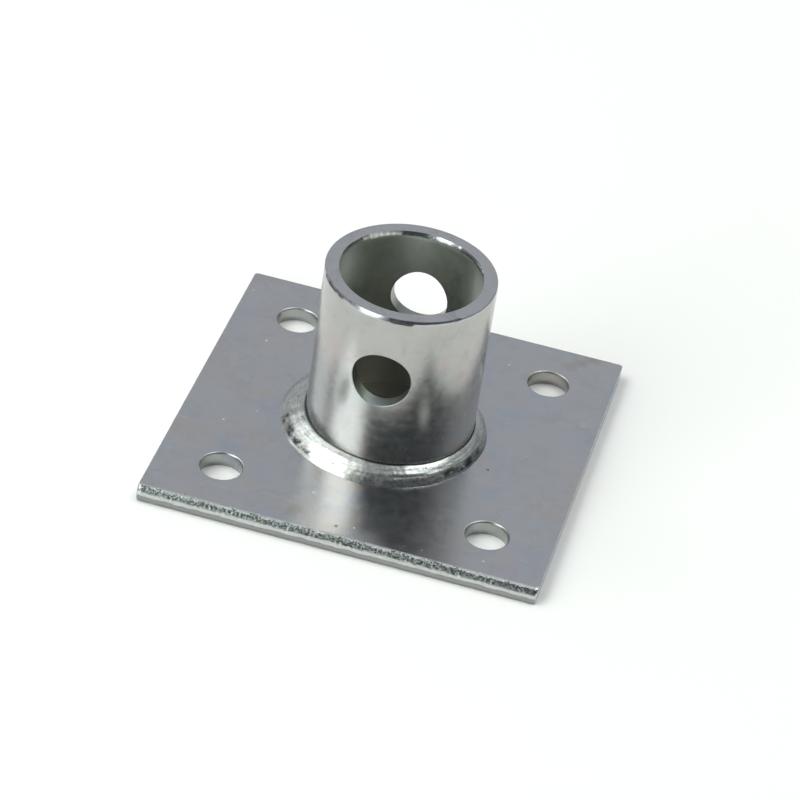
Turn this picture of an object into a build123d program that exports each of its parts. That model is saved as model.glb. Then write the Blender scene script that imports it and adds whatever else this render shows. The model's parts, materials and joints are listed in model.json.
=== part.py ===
from build123d import *
import os

os.makedirs("parts", exist_ok=True)

# Tube clamp base flange: a square plate, a cross-drilled tube socket and the weld that joins them.
# Millimetres. The origin is the middle of the plate's underside, with +Z up the tube and the
# cross hole along Y.

# Base plate: a length cropped from flat bar
plate_width = 100.0             # X, between the bar's rolled edges
plate_length = 100.0            # Y, between the two sheared ends
plate_thickness = 4.0
rolled_edge_radius = 0.3
shear_rollover = 2.0            # the blade draws one edge down: front end on top, back end below
shear_far_edge = 0.5            # the other edge of each sheared end

# Bolt holes, punched from the top: one at each corner of a rectangle
bolt_spacing_x = 67.2
bolt_spacing_y = 67.2
bolt_hole_diameter = 10.5
punch_rounding = 0.45           # top rim
breakout_width = 0.25           # bottom rim, where the slug tears out
breakout_height = 1.2

# Socket tube, standing on the plate
tube_outer_diameter = 42.4
tube_wall = 3.6
tube_length = 46.0
rim_outer_chamfer = 0.5         # measured across the rim's flat face
rim_inner_chamfer = 0.45
rim_chamfer_height = 1.1

# Cross hole through both walls of the tube
cross_hole_diameter = 14.5
cross_hole_drop = 18.5          # from the rim to the hole's axis
cross_hole_edge_break = 0.25

# Fillet weld round the foot of the tube
weld_leg_on_plate = 4.9
weld_leg_on_tube = 3.6
weld_crown = 0.45               # how far the bead bulges past a straight face

# Worked out from the sizes above
tube_outer_radius = tube_outer_diameter / 2
tube_inner_radius = tube_outer_radius - tube_wall
rim_height = plate_thickness + tube_length
cross_hole_height = rim_height - cross_hole_drop


# Base plate: the side view of the two sheared ends, drawn out to the plate's width
with BuildPart() as base_plate:
    with BuildSketch(Plane.YZ) as side_view:
        with Locations((0, plate_thickness / 2)):
            Rectangle(plate_length, plate_thickness)
        front_corners = side_view.vertices().group_by(Axis.X)[0].sort_by(Axis.Y)
        back_corners = side_view.vertices().group_by(Axis.X)[-1].sort_by(Axis.Y)
        fillet([front_corners[-1], back_corners[0]], shear_rollover)
        front_far_corner = side_view.vertices().group_by(Axis.X)[0].sort_by(Axis.Y)[0]
        back_far_corner = side_view.vertices().group_by(Axis.X)[-1].sort_by(Axis.Y)[-1]
        fillet([front_far_corner, back_far_corner], shear_far_edge)
    extrude(amount=plate_width / 2, both=True)
    fillet(base_plate.faces().filter_by(Axis.X).edges(), rolled_edge_radius)

    with Locations((0, 0, plate_thickness)):
        with GridLocations(bolt_spacing_x, bolt_spacing_y, 2, 2):
            Hole(bolt_hole_diameter / 2)
    rims = base_plate.edges(Select.LAST).filter_by(GeomType.CIRCLE)
    fillet(rims.group_by(Axis.Z)[-1], punch_rounding)
    underside = base_plate.faces().filter_by(Axis.Z).sort_by(Axis.Z)[0]
    bottom_rims = underside.edges().filter_by(GeomType.CIRCLE)
    chamfer(bottom_rims, breakout_width, breakout_height, reference=underside)

base_plate.part.label = "base_plate"
export_step(base_plate.part, "parts/base_plate.step")


# Socket tube
with BuildPart() as socket_tube:
    with BuildSketch(Plane.XY.offset(plate_thickness)):
        Circle(tube_outer_radius)
        Circle(tube_inner_radius, mode=Mode.SUBTRACT)
    extrude(amount=tube_length)

    rim = socket_tube.faces().sort_by(Axis.Z)[-1]
    outer_rim = rim.edges().sort_by(SortBy.RADIUS)[-1]
    chamfer(outer_rim, rim_outer_chamfer, rim_chamfer_height, reference=rim)
    rim = socket_tube.faces().sort_by(Axis.Z)[-1]
    inner_rim = rim.edges().sort_by(SortBy.RADIUS)[0]
    chamfer(inner_rim, rim_inner_chamfer, rim_chamfer_height, reference=rim)

    with Locations(Plane(origin=(0, 0, cross_hole_height), z_dir=(0, -1, 0))):
        Hole(cross_hole_diameter / 2)
    cross_hole_edges = socket_tube.edges(Select.LAST)
    fillet(cross_hole_edges, cross_hole_edge_break)

socket_tube.part.label = "socket_tube"
export_step(socket_tube.part, "parts/socket_tube.step")


# Weld bead
with BuildPart() as weld_bead:
    with BuildSketch(Plane.XZ):
        root = (tube_outer_radius, plate_thickness)
        toe = (tube_outer_radius + weld_leg_on_plate, plate_thickness)
        top = (tube_outer_radius, plate_thickness + weld_leg_on_tube)
        with BuildLine():
            Line(root, toe)
            SagittaArc(toe, top, -weld_crown)
            Line(top, root)
        make_face()
    revolve(axis=Axis.Z)

weld_bead.part.label = "weld_bead"
export_step(weld_bead.part, "parts/weld_bead.step")
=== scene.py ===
# Tube clamp base flange: a bright zinc-plated plate with a welded, cross-drilled tube socket.
import bpy, bmesh, json, math
from mathutils import Matrix, Vector, noise


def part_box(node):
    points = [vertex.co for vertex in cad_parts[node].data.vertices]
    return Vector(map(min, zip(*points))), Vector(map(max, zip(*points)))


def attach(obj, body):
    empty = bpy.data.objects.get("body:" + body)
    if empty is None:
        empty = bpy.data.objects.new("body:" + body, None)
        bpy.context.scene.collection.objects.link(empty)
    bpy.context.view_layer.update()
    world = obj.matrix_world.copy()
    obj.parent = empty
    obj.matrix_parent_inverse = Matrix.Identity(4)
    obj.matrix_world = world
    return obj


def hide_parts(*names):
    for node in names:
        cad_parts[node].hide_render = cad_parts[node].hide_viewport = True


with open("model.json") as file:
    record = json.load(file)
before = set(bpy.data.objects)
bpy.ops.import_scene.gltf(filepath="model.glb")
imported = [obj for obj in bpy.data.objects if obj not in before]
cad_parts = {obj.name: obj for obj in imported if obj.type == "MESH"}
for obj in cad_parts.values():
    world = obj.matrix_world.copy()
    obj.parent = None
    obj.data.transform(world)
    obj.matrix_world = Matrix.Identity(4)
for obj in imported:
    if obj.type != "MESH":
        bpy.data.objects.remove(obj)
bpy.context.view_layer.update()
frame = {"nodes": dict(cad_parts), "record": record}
mm = 0.001
print("frame loaded:", ", ".join(frame["nodes"]))


def hexToLinear(code):                       # "#c8cacb" -> linear RGBA
    parts = [int(code[i:i + 2], 16) / 255 for i in (1, 3, 5)]
    return (*[c / 12.92 if c <= 0.04045 else ((c + 0.055) / 1.055) ** 2.4 for c in parts], 1.0)


def addNode(tree, kind, inputs=None, **settings):    # one node with its settings, values and links
    node = tree.nodes.new(kind)
    for name, value in settings.items():
        setattr(node, name, value)
    for key, value in (inputs or {}).items():
        if isinstance(value, bpy.types.NodeSocket):
            tree.links.new(value, node.inputs[key])
        else:
            node.inputs[key].default_value = value
    return node


def perMetre(sizeMm):                        # scale of a pattern whose features are about this size
    return 1000.0 / sizeMm


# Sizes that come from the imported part
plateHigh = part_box("base_plate")[1]
tubeLow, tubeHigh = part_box("socket_tube")
mounts = {m["name"]: m for m in frame["record"]["mounts"]}
tubeRadius = (tubeHigh.x - tubeLow.x) / 2
boreRadius = mounts["tube_socket"]["dims"]["r_mm"] * mm
crossRadius = mounts["cross_hole"]["dims"]["r_mm"] * mm
crossHeight = mounts["cross_hole"]["pos_m"][2]
boltRadius = mounts["bolt_holes"]["dims"]["hole_r_mm"] * mm
boltX = mounts["bolt_holes"]["dims"]["spacing_x_mm"] * mm / 2
boltY = mounts["bolt_holes"]["dims"]["spacing_y_mm"] * mm / 2
plateTop = plateHigh.z
rimTop = tubeHigh.z


# Camera: a long lens from the front, a little to the right and well above, rolled slightly
cameraView = {
    "azimuth": 9.72, "elevation": 36.0, "roll": 8.66,    # degrees
    "aim": (0.00373, -0.0109, 0.020), "distance": 0.8519,
    "lens": 156.7, "sensor": 36.0,                       # mm
}


def directionTo(azimuth, elevation):         # azimuth 0 is the front (-Y) and turns towards +X
    a, e = math.radians(azimuth), math.radians(elevation)
    return Vector((math.sin(a) * math.cos(e), -math.cos(a) * math.cos(e), math.sin(e)))


def lookingAt(out, distance, aim=(0, 0, 0)):         # matrix for something that looks back along out
    turn = (-out).to_track_quat("-Z", "Y").to_matrix().to_4x4()
    return Matrix.Translation(Vector(aim) + out * distance) @ turn


def addCamera(view):
    data = bpy.data.cameras.new("camera")
    data.lens, data.sensor_width = view["lens"], view["sensor"]
    data.clip_start, data.clip_end = 0.01, 100.0
    camera = bpy.data.objects.new("camera", data)
    place = lookingAt(directionTo(view["azimuth"], view["elevation"]), view["distance"], view["aim"])
    camera.matrix_world = place @ Matrix.Rotation(math.radians(view["roll"]), 4, "Z")
    bpy.context.collection.objects.link(camera)
    bpy.context.scene.camera = camera


# Studio: pale floor, soft boxes and a grey room that is darker low down and on the camera's side
studio = {
    "floorHalf": 20.0, "floorColor": "#f1f1f0", "floorGlow": 0.03,
    "roomBack": "#c3c5c8", "roomFront": "#4b4f52", "roomLow": "#3c4043",
    "roomTurn": (-0.25, 0.55),               # from back to front, as the cosine to the camera's side
    "roomLift": (0.06, 0.42),                # where the low dark band ends, as the sine of the elevation
    "roomTail": (-0.40, -0.80),              # and where it ends towards the back
    "frontAside": 8.0,                       # the darkest side lies this far to the right of the camera
    "boxes": {                               # azimuth, elevation, lean, distance, width, height, watts
        "long box on the left": (-57.0, 38.0, 31.0, 3.0, 1.8, 4.8, 94.0),
        "back box on the left": (-118.0, 45.0, 0.0, 3.0, 1.6, 1.9, 13.5),
        "high box on the right": (112.0, 66.0, 0.0, 3.0, 1.9, 1.4, 26.0),
        "low fill on the right": (54.0, 5.2, 0.0, 3.0, 3.4, 0.46, 5.4),
    },
    "boxColor": "#fbfffa",
}


def addFloor(settings):
    half = settings["floorHalf"]
    mesh = bpy.data.meshes.new("floor")
    mesh.from_pydata([(-half, -half, 0), (half, -half, 0), (half, half, 0), (-half, half, 0)], [],
                     [(0, 1, 2, 3)])
    floor = bpy.data.objects.new("floor", mesh)
    bpy.context.collection.objects.link(floor)
    paper = bpy.data.materials.new("white backdrop paper")   # matt and even, close to white
    paper.use_nodes = True
    shader = paper.node_tree.nodes["Principled BSDF"]
    shader.inputs["Base Color"].default_value = hexToLinear(settings["floorColor"])
    shader.inputs["Roughness"].default_value = 0.95
    shader.inputs["Specular IOR Level"].default_value = 0.1
    shader.inputs["Emission Color"].default_value = hexToLinear("#ffffff")
    shader.inputs["Emission Strength"].default_value = settings["floorGlow"]
    mesh.materials.append(paper)


def addLights(settings, view):
    for name, (azimuth, elevation, lean, distance, width, height, watts) in settings["boxes"].items():
        light = bpy.data.lights.new(name, "AREA")
        light.shape, light.size, light.size_y, light.energy = "RECTANGLE", width, height, watts
        light.color = hexToLinear(settings["boxColor"])[:3]
        box = bpy.data.objects.new(name, light)
        place = lookingAt(directionTo(azimuth + view["azimuth"], elevation), distance)
        box.matrix_world = place @ Matrix.Rotation(math.radians(lean), 4, "Z")
        box.visible_camera = False
        bpy.context.collection.objects.link(box)


def addRoom(settings, view):
    world = bpy.data.worlds.new("room")
    bpy.context.scene.world = world
    world.use_nodes = True
    tree = world.node_tree
    tree.nodes.clear()
    way = addNode(tree, "ShaderNodeTexCoord").outputs["Generated"]
    front = addNode(tree, "ShaderNodeVectorMath",
                    {0: way, 1: directionTo(view["azimuth"] + settings["frontAside"], 0)},
                    operation="DOT_PRODUCT")
    share = addNode(tree, "ShaderNodeMapRange", {
        "Value": front.outputs["Value"],
        "From Min": settings["roomTurn"][0], "From Max": settings["roomTurn"][1]},
        interpolation_type="SMOOTHSTEP")
    color = addNode(tree, "ShaderNodeMix", {
        0: share.outputs["Result"], 6: hexToLinear(settings["roomBack"]),
        7: hexToLinear(settings["roomFront"])}, data_type="RGBA")
    up = addNode(tree, "ShaderNodeSeparateXYZ", {0: way})
    lift = addNode(tree, "ShaderNodeMapRange", {
        "Value": up.outputs[2], "From Min": settings["roomLift"][0], "From Max": settings["roomLift"][1]},
        interpolation_type="SMOOTHSTEP")
    tail = addNode(tree, "ShaderNodeMapRange", {
        "Value": front.outputs["Value"], "From Min": settings["roomTail"][0],
        "From Max": settings["roomTail"][1]},
        interpolation_type="SMOOTHSTEP")
    clear = addNode(tree, "ShaderNodeMath", {0: lift.outputs[0], 1: tail.outputs[0]}, operation="MAXIMUM")
    color = addNode(tree, "ShaderNodeMix", {
        0: clear.outputs[0], 6: hexToLinear(settings["roomLow"]), 7: color.outputs[2]}, data_type="RGBA")
    light = addNode(tree, "ShaderNodeBackground", {"Color": color.outputs[2]})
    wall = addNode(tree, "ShaderNodeBackground", {"Color": hexToLinear("#f4f4f4")})
    rays = addNode(tree, "ShaderNodeLightPath")
    both = addNode(tree, "ShaderNodeMixShader", {
        0: rays.outputs["Is Camera Ray"], 1: light.outputs[0], 2: wall.outputs[0]})
    addNode(tree, "ShaderNodeOutputWorld", {"Surface": both.outputs[0]})


bpy.context.scene.view_settings.view_transform = "Standard"
addCamera(cameraView)
addFloor(studio)
addLights(studio, cameraView)
addRoom(studio, cameraView)
print("camera, floor, lights and room ready")


# Finishes: bright zinc plating with a thin clear passivation film
def zincFinish(name, look):
    # Zinc plate is a soft grey mirror: the film drifts towards blue and straw in clouds a few
    # millimetres wide, and a fine mottle in its roughness breaks up every reflection.
    finish = bpy.data.materials.new(name)
    finish.use_nodes = True
    tree = finish.node_tree
    shader = tree.nodes["Principled BSDF"]
    place = addNode(tree, "ShaderNodeTexCoord").outputs["Object"]
    color = hexToLinear(look["base"])
    for tint, seed in (("cool", 3.0), ("warm", 11.0)):
        cloud = addNode(tree, "ShaderNodeTexNoise", {
            "Vector": place, "W": seed + look["seed"], "Scale": perMetre(look["cloudMm"]),
            "Detail": 3.0, "Roughness": 0.55, "Distortion": 0.6}, noise_dimensions="4D")
        share = addNode(tree, "ShaderNodeMapRange", {
            "Value": cloud.outputs[0], "From Min": 0.45, "From Max": 0.72,
            "To Max": look["tintShare"]}, interpolation_type="SMOOTHSTEP")
        color = addNode(tree, "ShaderNodeMix", {
            0: share.outputs[0], 6: color, 7: hexToLinear(look[tint])}, data_type="RGBA").outputs[2]
    mottle = addNode(tree, "ShaderNodeTexNoise", {
        "Vector": place, "W": look["seed"], "Scale": perMetre(look["mottleMm"]),
        "Detail": 4.0, "Roughness": 0.6}, noise_dimensions="4D")
    cells = addNode(tree, "ShaderNodeTexVoronoi", {
        "Vector": place, "Scale": perMetre(look["speckGapMm"])})     # one possible speck in each cell
    lucky = addNode(tree, "ShaderNodeSeparateColor", {0: cells.outputs["Color"]})
    dot = addNode(tree, "ShaderNodeMapRange", {
        "Value": cells.outputs["Distance"], "From Min": look["speckSize"],
        "From Max": 0.4 * look["speckSize"]})
    chosen = addNode(tree, "ShaderNodeMath", {0: lucky.outputs[0], 1: 1.0 - look["speckShare"]},
                     operation="GREATER_THAN")
    speck = addNode(tree, "ShaderNodeMath", {0: dot.outputs[0], 1: chosen.outputs[0]},
                    operation="MULTIPLY")
    color = addNode(tree, "ShaderNodeMix", {
        0: speck.outputs[0], 6: color, 7: hexToLinear(look["speck"])}, data_type="RGBA").outputs[2]
    rough = addNode(tree, "ShaderNodeMapRange", {
        "Value": mottle.outputs[0], "From Min": 0.3, "From Max": 0.7,
        "To Min": look["roughness"] - look["roughnessSpread"],
        "To Max": look["roughness"] + look["roughnessSpread"]})
    rough = addNode(tree, "ShaderNodeMath", {0: speck.outputs[0], 1: 0.3, 2: rough.outputs[0]},
                    operation="MULTIPLY_ADD")
    wave = addNode(tree, "ShaderNodeTexNoise", {
        "Vector": place, "W": look["seed"] + 5.0, "Scale": perMetre(look["waveMm"]), "Detail": 1.0},
        noise_dimensions="4D")
    bumped = addNode(tree, "ShaderNodeBump", {
        "Height": wave.outputs[0], "Distance": look["waveDepthMm"] * mm, "Strength": 1.0})
    bumped = addNode(tree, "ShaderNodeBump", {
        "Height": mottle.outputs[0], "Distance": look["mottleDepthMm"] * mm, "Strength": 1.0,
        "Normal": bumped.outputs[0]})
    smudge = addNode(tree, "ShaderNodeTexNoise", {
        "Vector": place, "W": look["seed"] + 8.0, "Scale": perMetre(look["smudgeMm"]), "Detail": 5.0,
        "Roughness": 0.66, "Distortion": 0.8}, noise_dimensions="4D")
    dull = addNode(tree, "ShaderNodeMapRange", {
        "Value": smudge.outputs[0], "From Min": 0.46, "From Max": 0.74, "To Max": look["smudgeShare"]},
        interpolation_type="SMOOTHSTEP")
    color = addNode(tree, "ShaderNodeMix", {0: dull.outputs[0], 6: color, 7: hexToLinear(look["smudge"])},
                    data_type="RGBA").outputs[2]
    for x, y, reach, tint, share in look.get("marks", ()):    # stains and dots at places of their own; on the rim, painted shade and painted highlights
        jitter = addNode(tree, "ShaderNodeTexNoise",
                         {"Vector": place, "Scale": perMetre(reach), "Detail": 3.0})
        offset = addNode(tree, "ShaderNodeVectorMath", {
            0: jitter.outputs["Color"], 1: [reach * mm] * 3,
            2: [(c - 0.5 * reach) * mm for c in (-x, -y, 0.0)]},
            operation="MULTIPLY_ADD")
        nearby = addNode(tree, "ShaderNodeVectorMath", {0: place, 1: offset.outputs[0]}, operation="ADD")
        flat = addNode(tree, "ShaderNodeVectorMath", {0: nearby.outputs[0], 1: (1.0, 1.0, 0.0)},
                       operation="MULTIPLY")
        away = addNode(tree, "ShaderNodeVectorMath", {0: flat.outputs[0]},
                       operation="LENGTH").outputs["Value"]
        spot = addNode(tree, "ShaderNodeMapRange", {
            "Value": away, "From Min": 1.1 * reach * mm, "From Max": 0.3 * reach * mm, "To Max": share},
            interpolation_type="SMOOTHSTEP")
        color = addNode(tree, "ShaderNodeMix", {0: spot.outputs[0], 6: color, 7: hexToLinear(tint)},
                        data_type="RGBA").outputs[2]
    if "scratchShare" in look:               # a few hair-fine scratches, drawn wide enough to show
        for angle, gap in ((0.7, 1.1), (-1.1, 1.4)):
            turned = addNode(tree, "ShaderNodeMapping", {
                "Vector": place, "Rotation": (0.0, 0.0, angle), "Scale": (0.10, 1.0, 1.0)})
            hair = addNode(tree, "ShaderNodeTexNoise", {
                "Vector": turned.outputs[0], "Scale": perMetre(gap), "Detail": 1.0, "Distortion": 0.4})
            line = addNode(tree, "ShaderNodeMapRange", {
                "Value": hair.outputs[0], "From Min": 0.70, "From Max": 0.76,
                "To Max": look["scratchShare"]})
            color = addNode(tree, "ShaderNodeMix",
                            {0: line.outputs[0], 6: color, 7: hexToLinear(look["speck"])},
                            data_type="RGBA").outputs[2]
    tree.links.new(color, shader.inputs["Base Color"])
    tree.links.new(rough.outputs[0], shader.inputs["Roughness"])
    tree.links.new(bumped.outputs[0], shader.inputs["Normal"])
    shader.inputs["Metallic"].default_value = 1.0
    return finish, tree, shader


plateLook = {
    "base": "#bbbec2", "cool": "#a8b3c6", "warm": "#c2b4ac", "tintShare": 0.42, "cloudMm": 13.0,
    "mottleMm": 2.6, "mottleDepthMm": 0.006, "waveMm": 14.0, "waveDepthMm": 0.03,
    "roughness": 0.235, "roughnessSpread": 0.04, "seed": 0.0,
    "speck": "#dfe2e2", "speckGapMm": 3.2, "speckSize": 0.13, "speckShare": 0.08,
    "smudge": "#7c8186", "smudgeMm": 5.5, "smudgeShare": 0.14, "scratchShare": 0.10,
    # the next colour is painted shade on the plate's face inside the socket
    "inSocket": "#7d7b76",
    "marks": (                               # x, y, reach in mm, colour, share
        (27.7, -8.3, 0.45, "#3e4347", 0.9), (-1.2, -44.9, 0.7, "#4e5a50", 0.8),
        (-12.0, -43.0, 3.0, "#8f9b90", 0.4), (36.8, 43.4, 2.6, "#a8967f", 0.28),
        (39.5, 46.0, 2.4, "#a8967f", 0.30), (42.5, 48.5, 2.4, "#a8967f", 0.26),
        (46.0, 20.0, 1.6, "#ced2d2", 0.35)),
}
tubeLook = {
    "base": "#b6b5b2", "cool": "#a8b1ad", "warm": "#bbadab", "tintShare": 0.50, "cloudMm": 8.0,
    "mottleMm": 2.2, "mottleDepthMm": 0.016, "waveMm": 7.0, "waveDepthMm": 0.012,
    "roughness": 0.23, "roughnessSpread": 0.05, "seed": 20.0,
    "speck": "#6d7274", "speckGapMm": 4.0, "speckSize": 0.10, "speckShare": 0.06,
    "smudge": "#7a7c7b", "smudgeMm": 4.0, "smudgeShare": 0.24,
}
# the bore's last colour is painted shade, darkening it towards its bottom
boreLook = {**tubeLook, "base": "#cfd5cf", "cool": "#c4d0c3", "warm": "#cfd1c1", "seed": 30.0,
            "roughness": 0.42, "speckShare": 0.0, "smudge": "#7e8a70", "smudgeMm": 6.0,
            "deepInside": "#b9b7b2"}


# painted shade and painted highlights along the rim: first, last and step angle, radius, reach, colour,
# share
def rimPaintedLight(*runs):
    return [(radius * math.sin(math.radians(a)), -radius * math.cos(math.radians(a)), reach, tint, share)
            for first, last, step, radius, reach, tint, share in runs
            for a in range(first, last + 1, step)]


rimLook = {**tubeLook, "base": "#bcbfc2", "cool": "#b4b6c2", "warm": "#bfbab4", "seed": 40.0,
           "mottleMm": 0.6, "cloudMm": 5.0, "roughness": 0.22, "roughnessSpread": 0.04,
           # dark spots at the outer chamfer joins are painted shade; near-white spots on the inner chamfer
           # are painted highlights
           "marks": rimPaintedLight((-60, -46, 4, 22.1, 1.3, "#2f3336", 0.8),
                             (15, 17, 2, 22.0, 0.8, "#2f3336", 0.7),
                             (46, 48, 2, 22.1, 0.9, "#2f3336", 0.6),
                             (-156, -130, 5, 17.2, 0.9, "#f0e9dc", 0.9))}
weldLook = {
    "base": "#c0c3c2", "cool": "#b3bbb9", "warm": "#c0b5a6", "tintShare": 0.4, "cloudMm": 5.0,
    "mottleMm": 0.7, "mottleDepthMm": 0.008, "waveMm": 2.0, "waveDepthMm": 0.012,
    "roughness": 0.29, "roughnessSpread": 0.07, "seed": 50.0,
    "speck": "#5d6266", "speckGapMm": 2.0, "speckSize": 0.16, "speckShare": 0.10,
    "smudge": "#6c706c", "smudgeMm": 2.2, "smudgeShare": 0.40,
    # painted shade: a dark, rougher lower band, in three stretches
    "band": "#3a3f3e", "bandBlotMm": 2.4, "bandTurn": -15.0, "bandRoughness": 0.15,
    "bandLow": (0.06, 0.14), "bandHigh": (0.52, 0.34),       # where it fades in and out across the bead
    "streak": "#6a6f6d", "streakStretch": (4.0, 11.0, 1.0), "streakShare": 0.50,
    # the crease colour is painted shade where the bead meets the tube
    "crease": "#5a605d", "creaseFrom": (0.90, 0.97),
}
holeLook = {**plateLook, "base": "#aaaeab", "roughness": 0.33, "mottleMm": 0.7, "mottleDepthMm": 0.012,
            "seed": 60.0, "marks": (), "speckShare": 0.0}
drillLook = {**holeLook, "base": "#90958f", "roughness": 0.36, "seed": 65.0}
shearLook = {**plateLook, "marks": (), "roughness": 0.36, "roughnessSpread": 0.08, "mottleMm": 0.5,
             "mottleDepthMm": 0.035, "seed": 70.0, "speckShare": 0.0,
             "jagMm": 0.9, "pit": "#565d5b", "pitMm": 0.55,
             # colour bands up the end: painted shade by the far edge, painted highlights on the light band
             # and the lip, the torn zone's own tone between
             "zones": [(0.0, "#909192"), (0.43, "#9b9c9d"), (0.46, "#77787a"), (0.50, "#c0c2c1"),
                       (0.66, "#d3d6d4"), (0.73, "#b4b9b8"), (0.94, "#a9aeac"), (0.975, "#d2d6d3"),
                       (1.0, "#b9bcc0")]}


def shadeInside(tree, shader, source, start, end, dark):    # painted shade: the base colour darkens deep inside the socket
    place = addNode(tree, "ShaderNodeTexCoord").outputs["Object"]
    if source == "depth":
        value = addNode(tree, "ShaderNodeSeparateXYZ", {0: place}).outputs[2]
    else:
        flat = addNode(tree, "ShaderNodeVectorMath", {0: place, 1: (1.0, 1.0, 0.0)}, operation="MULTIPLY")
        value = addNode(tree, "ShaderNodeVectorMath", {0: flat.outputs[0]},
                        operation="LENGTH").outputs["Value"]
    share = addNode(tree, "ShaderNodeMapRange", {"Value": value, "From Min": start, "From Max": end},
                    interpolation_type="SMOOTHSTEP")
    if source == "radius":                   # only the plate's upper face, not its underside
        height = addNode(tree, "ShaderNodeSeparateXYZ", {0: place}).outputs[2]
        under = addNode(tree, "ShaderNodeMapRange", {"Value": height, "From Min": 0.75 * plateTop,
                                                     "From Max": 0.5 * plateTop})
        share = addNode(tree, "ShaderNodeMath", {0: share.outputs[0], 1: under.outputs[0]},
                        operation="MAXIMUM")
    bright = shader.inputs["Base Color"].links[0].from_socket
    color = addNode(tree, "ShaderNodeMix", {0: share.outputs[0], 6: hexToLinear(dark), 7: bright},
                    data_type="RGBA")
    tree.links.new(color.outputs[2], shader.inputs["Base Color"])


plateZinc, plateTree, plateShader = zincFinish("zinc-plated rolled steel", plateLook)
# painted shade on the plate's face inside the socket
shadeInside(plateTree, plateShader, "radius", boreRadius, boreRadius + 0.5 * mm, plateLook["inSocket"])
tubeZinc = zincFinish("zinc-plated drawn tube", tubeLook)[0]
boreZinc, boreTree, boreShader = zincFinish("zinc-plated tube bore", boreLook)
# painted shade down the bore towards its bottom
shadeInside(boreTree, boreShader, "depth", plateTop + 4 * mm, crossHeight, boreLook["deepInside"])
rimZinc = zincFinish("zinc-plated sawn steel", rimLook)[0]


def weldFinish():
    # Plated weld metal is as bright as the tube on its crown. A dark, rougher band along its lower
    # edge and a darker strip against the tube are painted shade. The bead carries its own place in two
    # attributes.
    finish, tree, shader = zincFinish("zinc-plated weld metal", weldLook)
    place = addNode(tree, "ShaderNodeTexCoord").outputs["Object"]
    across = addNode(tree, "ShaderNodeAttribute", attribute_name="beadAcross").outputs["Fac"]
    turn = addNode(tree, "ShaderNodeAttribute", attribute_name="beadTurn").outputs["Fac"]
    thirds = addNode(tree, "ShaderNodeMath", {0: turn, 1: 3.0, 2: math.radians(weldLook["bandTurn"])},
                     operation="MULTIPLY_ADD")
    thirds = addNode(tree, "ShaderNodeMath", {0: thirds.outputs[0]}, operation="COSINE")
    blot = addNode(tree, "ShaderNodeTexNoise",
                   {"Vector": place, "Scale": perMetre(weldLook["bandBlotMm"]), "Detail": 5.0,
                    "Roughness": 0.65})
    blot = addNode(tree, "ShaderNodeMath", {0: blot.outputs[0], 1: 3.0, 2: -1.5},
                   operation="MULTIPLY_ADD")
    share = addNode(tree, "ShaderNodeMath", {0: blot.outputs[0], 1: thirds.outputs[0]},
                    operation="SUBTRACT")
    share = addNode(tree, "ShaderNodeMapRange",
                    {"Value": share.outputs[0], "From Min": 0.3, "From Max": 1.2},
                    interpolation_type="SMOOTHSTEP")
    # painted shade: the dark band fades in and out across the lower part of the bead
    low = addNode(tree, "ShaderNodeMapRange", {
        "Value": across, "From Min": weldLook["bandLow"][0], "From Max": weldLook["bandLow"][1]})
    high = addNode(tree, "ShaderNodeMapRange", {
        "Value": across, "From Min": weldLook["bandHigh"][0], "From Max": weldLook["bandHigh"][1]})
    band = addNode(tree, "ShaderNodeMath", {0: low.outputs[0], 1: high.outputs[0]}, operation="MULTIPLY")
    run = addNode(tree, "ShaderNodeCombineXYZ", {0: turn, 1: across})
    run = addNode(tree, "ShaderNodeVectorMath", {0: run.outputs[0], 1: weldLook["streakStretch"]},
                  operation="MULTIPLY")
    streak = addNode(tree, "ShaderNodeTexNoise", {"Vector": run.outputs[0], "Scale": 1.5, "Detail": 5.0,
                                                  "Roughness": 0.7})
    streak = addNode(tree, "ShaderNodeMapRange", {
        "Value": streak.outputs[0], "From Min": 0.46, "From Max": 0.62,
        "To Max": weldLook["streakShare"]})
    # painted shade: darker next to the tube, in the crease
    crease = addNode(tree, "ShaderNodeMapRange", {
        "Value": across, "From Min": weldLook["creaseFrom"][0], "From Max": weldLook["creaseFrom"][1]})
    share = addNode(tree, "ShaderNodeMath", {0: share.outputs[0], 1: band.outputs[0]},
                    operation="MULTIPLY")
    bright = shader.inputs["Base Color"].links[0].from_socket
    color = addNode(tree, "ShaderNodeMix",
                    {0: streak.outputs[0], 6: bright, 7: hexToLinear(weldLook["streak"])},
                    data_type="RGBA")
    # painted shade: the dark lower band
    color = addNode(tree, "ShaderNodeMix",
                    {0: share.outputs[0], 6: color.outputs[2], 7: hexToLinear(weldLook["band"])},
                    data_type="RGBA")
    color = addNode(tree, "ShaderNodeMix",
                    {0: crease.outputs[0], 6: color.outputs[2], 7: hexToLinear(weldLook["crease"])},
                    data_type="RGBA")
    tree.links.new(color.outputs[2], shader.inputs["Base Color"])
    smooth = shader.inputs["Roughness"].links[0].from_socket
    rough = addNode(tree, "ShaderNodeMath", {0: share.outputs[0], 1: weldLook["bandRoughness"],
                                             2: smooth}, operation="MULTIPLY_ADD")
    tree.links.new(rough.outputs[0], shader.inputs["Roughness"])
    return finish


weldZinc = weldFinish()
holeZinc = zincFinish("zinc-plated punched steel", holeLook)[0]
drillZinc = zincFinish("zinc-plated drilled steel", drillLook)[0]


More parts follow.
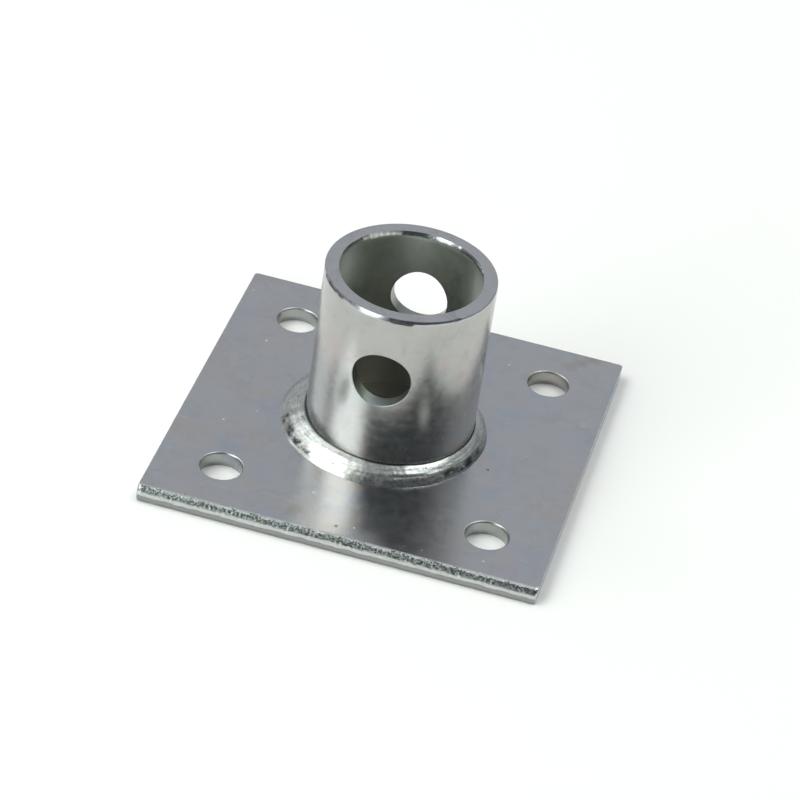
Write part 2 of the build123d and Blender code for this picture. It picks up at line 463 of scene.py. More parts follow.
def shearedFinish():
    # A sheared end is smooth where the blade rubbed, torn, pitted and darker above it, and rounded over
    # on the drawn-down lip. The grey band by the far edge is painted shade; the light band above it and the
    # bright line on the lip are painted highlights. shearHeight runs from 0 at the far edge to 1 at the
    # lip.
    finish, tree, shader = zincFinish("zinc-plated sheared steel", shearLook)
    place = addNode(tree, "ShaderNodeTexCoord").outputs["Object"]
    height = addNode(tree, "ShaderNodeAttribute", attribute_name="shearHeight").outputs["Fac"]
    long = addNode(tree, "ShaderNodeMapping", {"Vector": place, "Scale": (0.3, 1.0, 1.0)}).outputs[0]
    jag = addNode(tree, "ShaderNodeTexNoise",
                  {"Vector": long, "Scale": perMetre(shearLook["jagMm"]), "Detail": 3.0})
    height = addNode(tree, "ShaderNodeMath", {0: height, 1: 0.9}, operation="MULTIPLY").outputs[0]
    shifted = addNode(tree, "ShaderNodeMath", {0: jag.outputs[0], 1: 0.2, 2: height},
                      operation="MULTIPLY_ADD")
    zones = addNode(tree, "ShaderNodeValToRGB", {0: shifted.outputs[0]})
    ramp = zones.color_ramp
    while len(ramp.elements) < len(shearLook["zones"]):
        ramp.elements.new(0.5)
    for element, (position, code) in zip(ramp.elements, shearLook["zones"]):
        element.position, element.color = position, hexToLinear(code)
    pits = addNode(tree, "ShaderNodeTexNoise",
                   {"Vector": place, "Scale": perMetre(shearLook["pitMm"]), "Detail": 2.0,
                    "Roughness": 0.7})
    pits = addNode(tree, "ShaderNodeMapRange",
                   {"Value": pits.outputs[0], "From Min": 0.40, "From Max": 0.56})
    torn = addNode(tree, "ShaderNodeMapRange",
                   {"Value": shifted.outputs[0], "From Min": 0.68, "From Max": 0.78})
    lip = addNode(tree, "ShaderNodeMapRange",
                  {"Value": shifted.outputs[0], "From Min": 1.0, "From Max": 0.96})
    share = addNode(tree, "ShaderNodeMath", {0: torn.outputs[0], 1: lip.outputs[0]}, operation="MULTIPLY")
    share = addNode(tree, "ShaderNodeMath", {0: share.outputs[0], 1: pits.outputs[0]},
                    operation="MULTIPLY")
    color = addNode(tree, "ShaderNodeMix",
                    {0: share.outputs[0], 6: zones.outputs[0], 7: hexToLinear(shearLook["pit"])},
                    data_type="RGBA")
    tree.links.new(color.outputs[2], shader.inputs["Base Color"])
    return finish


shearZinc = shearedFinish()
print("finishes ready")


# Meshes drawn as rows of points
def addRow(draft, row):                      # keeps a row of points and returns their numbers
    first = len(draft["points"])
    draft["points"].extend(row)
    return list(range(first, first + len(row)))


def joinRows(draft, lower, upper, slot, closed=True):        # quads between two rows
    count = len(lower)
    for i in range(count if closed else count - 1):
        j = (i + 1) % count
        draft["faces"].append((lower[i], lower[j], upper[j], upper[i]))
        draft["slots"].append(slot)


def newDraft():
    return {"points": [], "faces": [], "slots": []}


def addPiece(name, draft, finishes, sharpDegrees, heights=None):
    mesh = bpy.data.meshes.new(name)
    mesh.from_pydata([tuple(p) for p in draft["points"]], [], draft["faces"])
    for finish in finishes:
        mesh.materials.append(finish)
    mesh.polygons.foreach_set("material_index", draft["slots"])
    if heights:
        mesh.attributes.new("shearHeight", "FLOAT", "POINT").data.foreach_set("value", heights)
    work = bmesh.new()
    work.from_mesh(mesh)
    bmesh.ops.recalc_face_normals(work, faces=work.faces)
    work.to_mesh(mesh)
    work.free()
    mesh.shade_smooth()
    mesh.set_sharp_from_angle(angle=math.radians(sharpDegrees))
    piece = bpy.data.objects.new(name, mesh)
    bpy.context.collection.objects.link(piece)
    print(name, len(mesh.polygons), "faces")
    return piece


def blend(first, second, share):
    return first + (second - first) * share


def rectangleLoop(left, right, low, high):   # (row, column) pairs once round a rectangle of the grid
    loop = [(low, c) for c in range(left, right)]
    loop += [(r, right) for r in range(low, high)]
    loop += [(high, c) for c in range(right, left, -1)]
    return loop + [(r, left) for r in range(high, low, -1)]


# Base plate
plate = {
    "columns": 360, "holeReach": 9.0 * mm, "holeRows": 18,
    "sideRounding": 0.3 * mm, "rollover": 2.0 * mm, "farEdge": 0.5 * mm, "turnSteps": 24,
    "tearDepth": 0.16 * mm, "tearSize": 0.7 * mm,            # roughness of the torn band
    "endRows": (3.5 * mm, 6.0 * mm), "breakoutWobble": 0.07 * mm, "flatShares": (0.3, 0.55, 0.78, 0.92),
    "cornerRadius": 0.9 * mm, "cornerRows": (0.2 * mm, 0.45 * mm, 0.7 * mm, 0.95 * mm, 1.25 * mm),
    "punchRounding": 0.45 * mm, "breakout": 0.25 * mm, "breakoutHeight": 1.2 * mm,
}


def cornerInset(height, radius, top):        # how far a rounded edge has drawn in at this height
    reach = height - (top - radius)
    if reach <= 0:
        return 0.0
    return radius - math.sqrt(max(radius ** 2 - min(reach, radius) ** 2, 0.0))


def plateInsets(z):                          # (sides, front end, back end) at a height in the plate
    flipped = plateTop - z
    side = max(cornerInset(h, plate["sideRounding"], plateTop) for h in (z, flipped))
    front = max(cornerInset(z, plate["rollover"], plateTop),
                cornerInset(flipped, plate["farEdge"], plateTop))
    back = max(cornerInset(flipped, plate["rollover"], plateTop),
               cornerInset(z, plate["farEdge"], plateTop))
    return side, front, back


def tearing(x, height, seed):                # torn texture of a sheared end, 0 to 1
    at = Vector((x / plate["tearSize"], height / plate["tearSize"] * 1.3, seed))
    return 0.5 + 0.5 * noise.fractal(at, 0.7, 2.1, 3)


def buildPlate():
    draft = newDraft()
    heights = []
    columns = plate["columns"]
    reach = plate["holeReach"]
    halfX, halfY = plateHigh.x, plateHigh.y
    inner = [-halfY + gap for gap in plate["endRows"]]
    inner += [-boltY - reach + 2 * reach * k / plate["holeRows"] for k in range(plate["holeRows"] + 1)]
    inner += [blend(-boltY + reach, 0.0, k / 4) for k in range(1, 4)]
    inner = inner + [0.0] + [-y for y in reversed(inner)]
    offsets = plate["cornerRows"]
    rowCount = len(inner) + 2 + 2 * len(offsets)
    low = 3 + len(offsets)
    high = low + plate["holeRows"]
    columnAt = [(c / columns * 2 - 1) for c in range(columns + 1)]
    holeColumns = round(reach / halfX * columns / 2)

    def rowsAt(front, back):                 # the rows keep their distance from each end
        first = [-halfY + front + o for o in (0.0, *offsets)]
        return first + inner + [halfY - back - o for o in reversed((0.0, *offsets))]

    # turns each square corner of an outline into a round one
    def softCorner(x, y, z, side, front, back):
        radius = plate["cornerRadius"]
        cx = math.copysign(halfX - side - radius, x)
        cy = halfY - back - radius if y > 0 else -(halfY - front - radius)
        u, v = (x - cx) * math.copysign(1, x), (y - cy) * math.copysign(1, y)
        if u <= 0 or v <= 0:
            return x, y, z
        pull = max(u, v) / math.hypot(u, v)
        return cx + math.copysign(u * pull, x), cy + math.copysign(v * pull, y), z

    def sheet(z, slot):           # the flat top or bottom, with a ring of rows at each hole
        side, front, back = plateInsets(z)
        ys = rowsAt(front, back)
        grid = [addRow(draft, [softCorner(share * (halfX - side), y, z, side, front,
                                          back) for share in columnAt])
                for y in ys]
        loops = {}
        skipped = set()
        for sx in (-1, 1):
            for sy in (-1, 1):
                centre = round((sx * boltX / (halfX - side) + 1) * columns / 2)
                left, right = centre - holeColumns, centre + holeColumns
                bottom, top = (low, high) if sy < 0 else (rowCount - 1 - high, rowCount - 1 - low)
                skipped |= {(r, c) for r in range(bottom, top) for c in range(left, right)}
                loops[sx, sy] = [grid[r][c] for r, c in rectangleLoop(left, right, bottom, top)]
        for r in range(rowCount - 1):
            for c in range(columns):
                if (r, c) not in skipped:
                    draft["faces"].append((grid[r][c], grid[r][c + 1], grid[r + 1][c + 1],
                                           grid[r + 1][c]))
                    draft["slots"].append(slot)
        edge = (grid[0][:-1] + [row[-1] for row in grid[:-1]]
                + grid[-1][:0:-1] + [row[0] for row in grid[:0:-1]])
        return edge, loops

    def holeRing(centre, angles, radius, z, roughness=0.0):
        ring = []
        for a in angles:
            wobble = roughness * noise.noise(Vector((math.cos(a) * 6, math.sin(a) * 6, z / mm)))
            ring.append((centre[0] + (radius + wobble) * math.cos(a),
                         centre[1] + (radius + wobble) * math.sin(a), z))
        return addRow(draft, ring)

    topEdge, topLoops = sheet(plateTop, 0)
    bottomEdge, bottomLoops = sheet(0.0, 0)

    for key, topLoop in topLoops.items():
        centre = (key[0] * boltX, key[1] * boltY)
        angles = [math.atan2(draft["points"][n][1] - centre[1],
                             draft["points"][n][0] - centre[0]) for n in topLoop]
        punch, breakout = plate["punchRounding"], plate["breakout"]

        def flatRings(loop, radius, z):      # rows between the square outline and the round rim
            rings = [loop]
            for share in plate["flatShares"]:
                rings.append(addRow(draft, [
                    (blend(draft["points"][n][0], centre[0] + radius * math.cos(a), share),
                     blend(draft["points"][n][1], centre[1] + radius * math.sin(a), share), z)
                    for n, a in zip(loop, angles)]))
            return rings

        rings = flatRings(topLoop, boltRadius + punch, plateTop)
        flatCount = len(rings)
        for step in range(7):                # rounding drawn down by the punch
            turn = math.radians(15 * step)
            rings.append(holeRing(centre, angles, boltRadius + punch * (1 - math.sin(turn)),
                                  plateTop - punch * (1 - math.cos(turn))))
        for share in (0.25, 0.5, 0.75, 1.0):
            z = blend(plateTop - punch, plate["breakoutHeight"], share)
            rings.append(holeRing(centre, angles, boltRadius, z))
        for share in (0.25, 0.5, 0.75, 1.0):
            z = blend(plate["breakoutHeight"], 0.0, share)
            rings.append(holeRing(centre, angles, boltRadius + breakout * share, z,
                                  plate["breakoutWobble"] * math.sin(math.pi * share)))
        wallCount = len(rings)
        rings += flatRings(bottomLoops[key], boltRadius + breakout, 0.0)[::-1]
        for i in range(len(rings) - 1):
            slot = 1 if flatCount <= i < wallCount - 1 else 0
            joinRows(draft, rings[i], rings[i + 1], slot)

    # the four edges, in rings from the top outline down to the bottom one
    steps = plate["turnSteps"]
    rings = [topEdge]
    count = len(topEdge)
    for step in range(1, steps):
        turn = math.radians(90 - 180 * step / steps)
        z = plateTop / 2 + plateTop / 2 * math.sin(turn)
        side, front, back = plateInsets(z)
        ys = rowsAt(front, back)
        ring = []
        for i in range(count):
            dip = 0.0
            if i <= columns:                 # front end
                share, y = columnAt[i], ys[0]
                tear = math.sin(math.pi * min(max((z - 0.45 * plateTop) / (0.5 * plateTop), 0), 1))
                dip = plate["tearDepth"] * tear * tearing(share * halfX, z, 1.0)
            elif i < columns + rowCount - 1:
                share, y = 1.0, ys[i - columns]
            elif i <= 2 * columns + rowCount - 1:
                share, y = columnAt[2 * columns + rowCount - 1 - i], ys[-1]
                tear = math.sin(math.pi * min(max((0.55 * plateTop - z) / (0.5 * plateTop), 0), 1))
                dip = -plate["tearDepth"] * tear * tearing(share * halfX, z, 9.0)
            else:
                share, y = -1.0, ys[2 * columns + 2 * (rowCount - 1) - i]
            x, y, z = softCorner(share * (halfX - side), y, z, side, front, back)
            ring.append((x, y + dip, z))
        rings.append(addRow(draft, ring))
    rings.append(bottomEdge)
    for i in range(len(rings) - 1):
        for j in range(count):
            k = (j + 1) % count
            isEnd = j < columns or columns + rowCount - 1 <= j < 2 * columns + rowCount - 1
            draft["faces"].append((rings[i][j], rings[i][k], rings[i + 1][k], rings[i + 1][j]))
            draft["slots"].append(2 if isEnd else 0)
    heights = [(p[2] / plateTop) if p[1] < 0 else 1 - p[2] / plateTop for p in draft["points"]]
    return addPiece("detailedPlate", draft, [plateZinc, holeZinc, shearZinc], 25, heights)


detailedPlate = buildPlate()
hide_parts("base_plate")
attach(detailedPlate, "root")


# Socket tube
tube = {
    "columns": 480, "holeReach": 9.6 * mm, "holeRows": 24, "edgeBreak": 0.25 * mm, "boreBreak": 0.08 * mm,
    # rim chamfers filed by hand: end angle in degrees from the front towards +X, width, height, bulge in mm
    "outerChamfer": [
        (-63, 0.07, 0.18, 0.02), (-44, 0.58, 0.80, 0.03), (-40, 0.44, 0.92, 0.02),
        (-36, 0.52, 0.86, 0.02),
        (2, 0.44, 1.15, 0.02), (17.5, 0.52, 1.12, 0.03), (45, 0.46, 0.92, 0.14), (50, 0.54, 1.02, 0.10),
        (92, 0.40, 0.80, 0.15), (180, 0.07, 0.18, 0.02)],
    "innerChamfer": [
        (-158.4, 0.46, 1.05, 0.03), (-128.7, 0.44, 1.20, 0.02), (-120, 0.42, 0.98, 0.03),
        (-99, 0.34, 0.75, 0.04),
        (-92, 0.22, 0.50, 0.02), (112, 0.10, 0.25, 0.02), (121.7, 0.30, 0.65, 0.03),
        (148, 0.44, 0.98, 0.04),
        (154, 0.50, 1.10, 0.03), (171, 0.40, 1.12, 0.02), (176, 0.46, 1.12, 0.03),
        (180, 0.46, 1.05, 0.03)],
    "chamferRows": 6, "joinDegrees": 2.4, "unevenness": 0.10,
}


def chamferAt(facets, degrees):              # width, height and bulge at an angle, easing over each join
    cut = facets[-1][1:]
    for i, (end, *sizes) in enumerate(facets):
        if degrees <= end:
            cut = sizes
            if i + 1 < len(facets) and end - degrees < tube["joinDegrees"]:
                share = (tube["joinDegrees"] - (end - degrees)) / tube["joinDegrees"]
                share = share * share * (3 - 2 * share)
                cut = [blend(c, n, share) for c, n in zip(sizes, facets[i + 1][1:])]
            break
    turn = math.radians(degrees)
    ripple = 1 + tube["unevenness"] * noise.noise(Vector((math.cos(turn) * 9, math.sin(turn) * 9,
                                                          cut[1])))
    return [c * ripple * mm for c in cut]


def buildTube():
    draft = newDraft()
    columns = tube["columns"]
    reach = tube["holeReach"]
    turn = 2 * math.pi / columns
    degreesAt = [(c * 360 / columns + 180) % 360 - 180 for c in range(columns)]
    outer = [chamferAt(tube["outerChamfer"], d) for d in degreesAt]
    inner = [chamferAt(tube["innerChamfer"], d) for d in degreesAt]

    def around(c, radius, z):
        return (radius * math.sin(c * turn), -radius * math.cos(c * turn), z)

    low, high = crossHeight - reach, crossHeight + reach
    rows = [blend(plateTop, low, k / 6) for k in range(6)]
    rows += [blend(low, high, k / tube["holeRows"]) for k in range(tube["holeRows"] + 1)]
    rows += [blend(high, rimTop - 2.0 * mm, k / 4) for k in range(1, 5)]
    outerGrid = [addRow(draft, [around(c, tubeRadius, z) for c in range(columns)]) for z in rows]
    rim = []
    steps = [k / tube["chamferRows"] for k in range(tube["chamferRows"] + 1)]
    for share in steps:                      # up the outer chamfer
        swell = math.sin(math.pi * share)
        rim.append(addRow(draft, [
            around(c, tubeRadius - w * share + bulge * swell * 0.8,
                   rimTop - h * (1 - share) + bulge * swell * 0.5)
            for c, (w, h, bulge) in enumerate(outer)]))
    for share in (0.33, 0.67):
        rim.append(addRow(draft, [
            around(c, blend(tubeRadius - outer[c][0], boreRadius + inner[c][0], share),
                   rimTop) for c in range(columns)]))
    for share in reversed(steps):            # down the inner chamfer
        swell = math.sin(math.pi * share)
        rim.append(addRow(draft, [
            around(c, boreRadius + w * share - bulge * swell * 0.8,
                   rimTop - h * (1 - share) + bulge * swell * 0.5)
            for c, (w, h, bulge) in enumerate(inner)]))
    innerGrid = [addRow(draft, [around(c, boreRadius, z) for c in range(columns)]) for z in rows]

    half = round(math.asin(reach / boreRadius) / turn)
    kLow, kHigh = 6, 6 + tube["holeRows"]
    holeColumns = {0: 0, 1: columns // 2}
    skipped = {(k, (centre + c) % columns) for centre in holeColumns.values()
               for k in range(kLow, kHigh) for c in range(-half, half)}
    for grid, slot in ((outerGrid, 0), (innerGrid, 1)):
        for k in range(len(rows) - 1):
            for c in range(columns):
                if (k, c) not in skipped:
                    d = (c + 1) % columns
                    draft["faces"].append((grid[k][c], grid[k][d], grid[k + 1][d], grid[k + 1][c]))
                    draft["slots"].append(slot)
    chain = [outerGrid[-1]] + rim + [innerGrid[-1]]
    for i in range(len(chain) - 1):
        joinRows(draft, chain[i], chain[i + 1], 0 if i == 0 else 1 if i == len(chain) - 2 else 2)
    joinRows(draft, innerGrid[0], outerGrid[0], 1)

    # each wall's cross hole: rows from a rectangle of the wall to the round edge, then through the wall
    outerBreak, boreBreak = tube["edgeBreak"], tube["boreBreak"]
    for centre in holeColumns.values():
        across = Vector((math.cos(centre * turn), math.sin(centre * turn), 0))
        outward = Vector((math.sin(centre * turn), -math.cos(centre * turn), 0))
        loop = rectangleLoop(-half, half, kLow, kHigh)
        angles = [math.atan2(rows[k] - crossHeight, tubeRadius * c * turn) for k, c in loop]

        def wallRings(grid, radius, edgeBreak):
            rings = [[grid[k][(centre + c) % columns] for k, c in loop]]
            for share in (0.25, 0.5, 0.72, 0.88, 0.97):
                ring = []
                for (k, c), a in zip(loop, angles):
                    edge = math.asin((crossRadius + edgeBreak) * math.cos(a) / radius)
                    aside = blend(c * turn, edge, share)
                    z = blend(rows[k], crossHeight + (crossRadius + edgeBreak) * math.sin(a), share)
                    ring.append(across * radius * math.sin(aside) + outward * radius * math.cos(aside)
                                + Vector((0, 0, z)))
                rings.append(addRow(draft, ring))
            return rings

        def holeRing(rho, radius, depth):
            ring = []
            for a in angles:
                aside = rho * math.cos(a)
                out = math.sqrt(radius ** 2 - aside ** 2) - depth
                ring.append(across * aside + outward * out + Vector((0, 0,
                                                                     crossHeight + rho * math.sin(a))))
            return addRow(draft, ring)

        bends = [math.radians(18 * i) for i in range(6)]
        rings = wallRings(outerGrid, tubeRadius, outerBreak)
        outerCount = len(rings)
        rings += [holeRing(crossRadius + outerBreak * (1 - math.sin(b)), tubeRadius,
                           outerBreak * (1 - math.cos(b))) for b in bends]
        insideRings = [holeRing(crossRadius + boreBreak * (1 - math.sin(b)), boreRadius,
                                -boreBreak * (1 - math.cos(b)))
                       for b in reversed(bends)]
        for share in (0.25, 0.5, 0.75):
            rings.append(addRow(draft, [
                tuple(blend(draft["points"][m][i], draft["points"][n][i], share) for i in range(3))
                for m, n in zip(rings[outerCount + 5], insideRings[0])]))
        rings += insideRings
        innerFrom = len(rings)
        rings += wallRings(innerGrid, boreRadius, boreBreak)[::-1]
        for i in range(len(rings) - 1):
            slot = 0 if i < outerCount else 3 if i < innerFrom else 1
            joinRows(draft, rings[i], rings[i + 1], slot)
    return addPiece("detailedTube", draft, [tubeZinc, boreZinc, rimZinc, drillZinc], 20)


detailedTube = buildTube()
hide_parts("socket_tube")
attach(detailedTube, "root")


# Weld bead: a Geometry Nodes tree lays the bead round the tube's foot
bead = {
    "Tube Radius": tubeRadius, "Plate Top": plateTop,
    "Leg On Plate": 4.9 * mm, "Leg On Tube": 3.6 * mm,
    "Drift": 1.35 * mm, "Drift Angle": math.radians(-80.0),  # the torch ran wide on one side
    "Fullness": 0.30,                                        # 0 is a straight face, 1 a quarter ellipse
    "Ripple Pitch": 1.5 * mm, "Ripple Height": 0.010 * mm,
    "Streak Height": 0.070 * mm, "Foot Crease": 0.30 * mm,
    "Wander": 0.14 * mm, "Roughness": 0.022 * mm, "Seed": 4.0,
    "Tie In Angle": math.radians(160.0), "Tie In Height": 0.45 * mm, "Tie In Length": 5.0 * mm,
}
beadAround, beadAcross = 960, 26


def beadTree():
    tree = bpy.data.node_groups.new("weld bead", "GeometryNodeTree")
    tree.interface.new_socket("Geometry", in_out="OUTPUT", socket_type="NodeSocketGeometry")
    for name in bead:
        tree.interface.new_socket(name, in_out="INPUT", socket_type="NodeSocketFloat")
    tree.interface.new_socket("Finish", in_out="INPUT", socket_type="NodeSocketMaterial")
    given = addNode(tree, "NodeGroupInput").outputs
    sheet = addNode(tree, "GeometryNodeMeshGrid", {
        "Size X": 1.0, "Size Y": 1.0, "Vertices X": beadAround + 1, "Vertices Y": beadAcross + 3})
    share = addNode(tree, "ShaderNodeSeparateXYZ", {0: sheet.outputs["UV Map"]})
    angle = addNode(tree, "ShaderNodeMath", {0: share.outputs[0], 1: 2 * math.pi},
                    operation="MULTIPLY").outputs[0]
    sine = addNode(tree, "ShaderNodeMath", {0: angle}, operation="SINE").outputs[0]
    cosine = addNode(tree, "ShaderNodeMath", {0: angle}, operation="COSINE").outputs[0]
    # across runs from 0 at the toe to 1 on the tube; the first and last rows close the back
    rim = 1.0 / (beadAcross + 2)
    across = addNode(tree, "ShaderNodeMapRange", {
        "Value": share.outputs[1], "From Min": rim, "From Max": 1 - rim}).outputs[0]
    fromMiddle = addNode(tree, "ShaderNodeMath", {0: share.outputs[1], 1: 0.5},
                         operation="SUBTRACT").outputs[0]
    fromMiddle = addNode(tree, "ShaderNodeMath", {0: fromMiddle}, operation="ABSOLUTE").outputs[0]
    isBack = addNode(tree, "ShaderNodeMath", {0: fromMiddle, 1: 0.5 - rim / 2},
                     operation="GREATER_THAN").outputs[0]

    # noises run round the tube on a circle, so they meet at the seam
    circle = addNode(tree, "ShaderNodeCombineXYZ", {0: sine, 1: cosine, 2: 0.0}).outputs[0]
    # mm
    circle = addNode(tree, "ShaderNodeVectorMath", {0: circle, 3: 24.0}, operation="SCALE").outputs[0]
    lift = addNode(tree, "ShaderNodeCombineXYZ", {0: 0.0, 1: 0.0, 2: across}).outputs[0]

    def drifting(sizeMm, acrossSteps, detail, offset):       # -1 to 1
        at = addNode(tree, "ShaderNodeVectorMath", {0: lift, 3: acrossSteps * sizeMm},
                     operation="SCALE").outputs[0]
        at = addNode(tree, "ShaderNodeVectorMath", {0: circle, 1: at}, operation="ADD").outputs[0]
        seed = addNode(tree, "ShaderNodeMath", {0: given["Seed"], 1: offset}, operation="ADD").outputs[0]
        field = addNode(tree, "ShaderNodeTexNoise", {
            "Vector": at, "W": seed, "Scale": 1.0 / sizeMm, "Detail": detail},
            noise_dimensions="4D").outputs[0]
        return addNode(tree, "ShaderNodeMapRange", {
            "Value": field, "From Min": 0.25, "From Max": 0.75, "To Min": -1.0, "To Max": 1.0}).outputs[0]

    turned = addNode(tree, "ShaderNodeMath", {0: angle, 1: given["Drift Angle"]},
                     operation="SUBTRACT").outputs[0]
    turned = addNode(tree, "ShaderNodeMath", {0: turned}, operation="COSINE").outputs[0]
    legPlate = addNode(tree, "ShaderNodeMath", {0: turned, 1: given["Drift"], 2: given["Leg On Plate"]},
                       operation="MULTIPLY_ADD").outputs[0]
    legPlate = addNode(tree, "ShaderNodeMath",
                       {0: drifting(6.0, 0.0, 1.0, 0.0), 1: given["Wander"], 2: legPlate},
                       operation="MULTIPLY_ADD").outputs[0]
    legTube = addNode(tree, "ShaderNodeMath", {0: drifting(6.0, 0.0, 1.0, 10.0), 1: given["Wander"],
                                               2: given["Leg On Tube"]},
                                               operation="MULTIPLY_ADD").outputs[0]
    # section: part straight face, part quarter ellipse
    quarter = addNode(tree, "ShaderNodeMath", {0: across, 1: math.pi / 2},
                      operation="MULTIPLY").outputs[0]
    roundOut = addNode(tree, "ShaderNodeMath", {0: quarter}, operation="COSINE").outputs[0]
    roundUp = addNode(tree, "ShaderNodeMath", {0: quarter}, operation="SINE").outputs[0]
    straightOut = addNode(tree, "ShaderNodeMath", {0: 1.0, 1: across}, operation="SUBTRACT").outputs[0]
    outShare = addNode(tree, "ShaderNodeMix",
                       {0: given["Fullness"], 2: straightOut, 3: roundOut}).outputs[0]
    upShare = addNode(tree, "ShaderNodeMix", {0: given["Fullness"], 2: across, 3: roundUp}).outputs[0]

    # surface: ripples bowed along the bead, a drifting skin and the bump where the weld ties in
    bow = addNode(tree, "ShaderNodeMath", {0: across, 1: 0.5}, operation="SUBTRACT").outputs[0]
    bow = addNode(tree, "ShaderNodeMath", {0: bow, 1: bow}, operation="MULTIPLY").outputs[0]
    length = addNode(tree, "ShaderNodeMath", {0: angle, 1: given["Tube Radius"]},
                     operation="MULTIPLY").outputs[0]
    count = addNode(tree, "ShaderNodeMath", {0: length, 1: given["Ripple Pitch"]},
                    operation="DIVIDE").outputs[0]
    bowed = addNode(tree, "ShaderNodeMath", {0: bow, 1: 5.0, 2: count},
                    operation="MULTIPLY_ADD").outputs[0]
    uneven = addNode(tree, "ShaderNodeMath", {0: drifting(3.0, 0.4, 2.0, 20.0), 1: 0.35, 2: bowed},
                     operation="MULTIPLY_ADD").outputs[0]
    phase = addNode(tree, "ShaderNodeMath", {0: uneven, 1: 2 * math.pi}, operation="MULTIPLY").outputs[0]
    ripple = addNode(tree, "ShaderNodeMath", {0: phase}, operation="SINE").outputs[0]
    patchy = addNode(tree, "ShaderNodeMapRange",
                     {"Value": drifting(9.0, 0.6, 1.0, 30.0), "From Min": -0.6,
                                                  "From Max": 0.9, "To Min": 0.25,
                                                  "To Max": 1.0}).outputs[0]
    ripple = addNode(tree, "ShaderNodeMath", {0: ripple, 1: patchy}, operation="MULTIPLY").outputs[0]
    ripple = addNode(tree, "ShaderNodeMath", {0: ripple, 1: given["Ripple Height"]},
                     operation="MULTIPLY").outputs[0]
    skin = addNode(tree, "ShaderNodeMath",
                   {0: drifting(2.6, 2.5, 1.0, 40.0), 1: given["Roughness"], 2: ripple},
                   operation="MULTIPLY_ADD").outputs[0]
    skin = addNode(tree, "ShaderNodeMath",
                   {0: drifting(10.0, 8.0, 1.5, 50.0), 1: given["Streak Height"], 2: skin},
                   operation="MULTIPLY_ADD").outputs[0]
    away = addNode(tree, "ShaderNodeMath", {0: angle, 1: given["Tie In Angle"]},
                   operation="SUBTRACT").outputs[0]
    away = addNode(tree, "ShaderNodeMath", {0: away, 1: given["Tube Radius"]},
                   operation="MULTIPLY").outputs[0]
    away = addNode(tree, "ShaderNodeMath", {0: away, 1: given["Tie In Length"]},
                   operation="DIVIDE").outputs[0]
    away = addNode(tree, "ShaderNodeMath", {0: away, 1: 2.0}, operation="POWER").outputs[0]
    bump = addNode(tree, "ShaderNodeMath", {0: away, 1: -4.0}, operation="MULTIPLY").outputs[0]
    bump = addNode(tree, "ShaderNodeMath", {0: bump}, operation="EXPONENT").outputs[0]
    skin = addNode(tree, "ShaderNodeMath", {0: bump, 1: given["Tie In Height"], 2: skin},
                   operation="MULTIPLY_ADD").outputs[0]
    fade = addNode(tree, "ShaderNodeMath", {0: roundOut, 1: roundUp}, operation="MULTIPLY").outputs[0]
    fade = addNode(tree, "ShaderNodeMath", {0: fade, 1: 2.0}, operation="MULTIPLY").outputs[0]
    skin = addNode(tree, "ShaderNodeMath", {0: skin, 1: fade}, operation="MULTIPLY").outputs[0]

    radius = addNode(tree, "ShaderNodeMath", {0: outShare, 1: legPlate, 2: given["Tube Radius"]},
                     operation="MULTIPLY_ADD").outputs[0]
    radius = addNode(tree, "ShaderNodeMath", {0: skin, 1: 0.7, 2: radius},
                     operation="MULTIPLY_ADD").outputs[0]
    height = addNode(tree, "ShaderNodeMath", {0: upShare, 1: legTube, 2: given["Plate Top"]},
                     operation="MULTIPLY_ADD").outputs[0]
    height = addNode(tree, "ShaderNodeMath", {0: skin, 1: 0.7, 2: height},
                     operation="MULTIPLY_ADD").outputs[0]
    # the last step falls into a small crease against the tube
    foot = addNode(tree, "ShaderNodeMapRange",
                   {"Value": across, "From Min": 0.93, "From Max": 1.0}).outputs[0]
    foot = addNode(tree, "ShaderNodeMath", {0: foot, 1: 2.0}, operation="POWER").outputs[0]
    sink = addNode(tree, "ShaderNodeMath", {0: foot, 1: given["Foot Crease"]},
                   operation="MULTIPLY").outputs[0]
    height = addNode(tree, "ShaderNodeMath", {0: height, 1: sink}, operation="SUBTRACT").outputs[0]
    radius = addNode(tree, "ShaderNodeMix", {0: isBack, 2: radius, 3: given["Tube Radius"]}).outputs[0]
    height = addNode(tree, "ShaderNodeMix", {0: isBack, 2: height, 3: given["Plate Top"]}).outputs[0]
    x = addNode(tree, "ShaderNodeMath", {0: radius, 1: sine}, operation="MULTIPLY").outputs[0]
    y = addNode(tree, "ShaderNodeMath", {0: radius, 1: cosine}, operation="MULTIPLY").outputs[0]
    y = addNode(tree, "ShaderNodeMath", {0: y, 1: -1.0}, operation="MULTIPLY").outputs[0]
    place = addNode(tree, "ShaderNodeCombineXYZ", {0: x, 1: y, 2: height}).outputs[0]
    laid = addNode(tree, "GeometryNodeSetPosition",
                   {"Geometry": sheet.outputs["Mesh"], "Position": place})
    sewn = addNode(tree, "GeometryNodeMergeByDistance", {"Geometry": laid.outputs[0], "Distance": 1e-6})
    marked = sewn
    for name, value in (("beadAcross", across), ("beadTurn", angle)):
        marked = addNode(tree, "GeometryNodeStoreNamedAttribute",
                         {"Geometry": marked.outputs[0], "Name": name,
                                                                  "Value": value})
    real = addNode(tree, "GeometryNodeRealizeInstances", {0: marked.outputs[0]})
    done = addNode(tree, "GeometryNodeSetMaterial",
                   {"Geometry": real.outputs[0], "Material": given["Finish"]})
    addNode(tree, "NodeGroupOutput", {0: done.outputs[0]})
    return tree


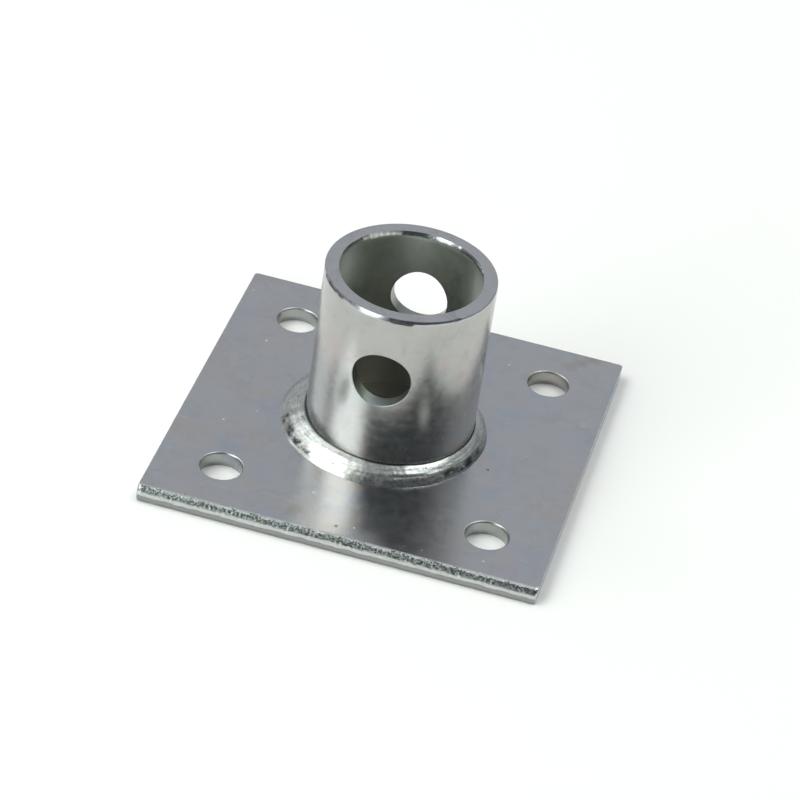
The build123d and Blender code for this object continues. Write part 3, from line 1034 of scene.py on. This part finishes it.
def buildBead():
    tree = beadTree()
    seedMesh = bpy.data.meshes.new("bead seed")
    carrier = bpy.data.objects.new("bead carrier", seedMesh)
    bpy.context.collection.objects.link(carrier)
    modifier = carrier.modifiers.new("weld bead", "NODES")
    modifier.node_group = tree
    for item in tree.interface.items_tree:
        if item.in_out == "INPUT":
            modifier[item.identifier] = weldZinc if item.name == "Finish" else bead[item.name]
    graph = bpy.context.evaluated_depsgraph_get()
    mesh = bpy.data.meshes.new_from_object(carrier.evaluated_get(graph))
    bpy.data.objects.remove(carrier)
    work = bmesh.new()
    work.from_mesh(mesh)
    bmesh.ops.recalc_face_normals(work, faces=work.faces)
    work.to_mesh(mesh)
    work.free()
    mesh.shade_smooth()
    mesh.set_sharp_from_angle(angle=math.radians(60))
    piece = bpy.data.objects.new("detailedWeld", mesh)
    bpy.context.collection.objects.link(piece)
    print("detailedWeld", len(mesh.polygons), "faces")
    return piece


detailedWeld = buildBead()
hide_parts("weld_bead")
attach(detailedWeld, "root")
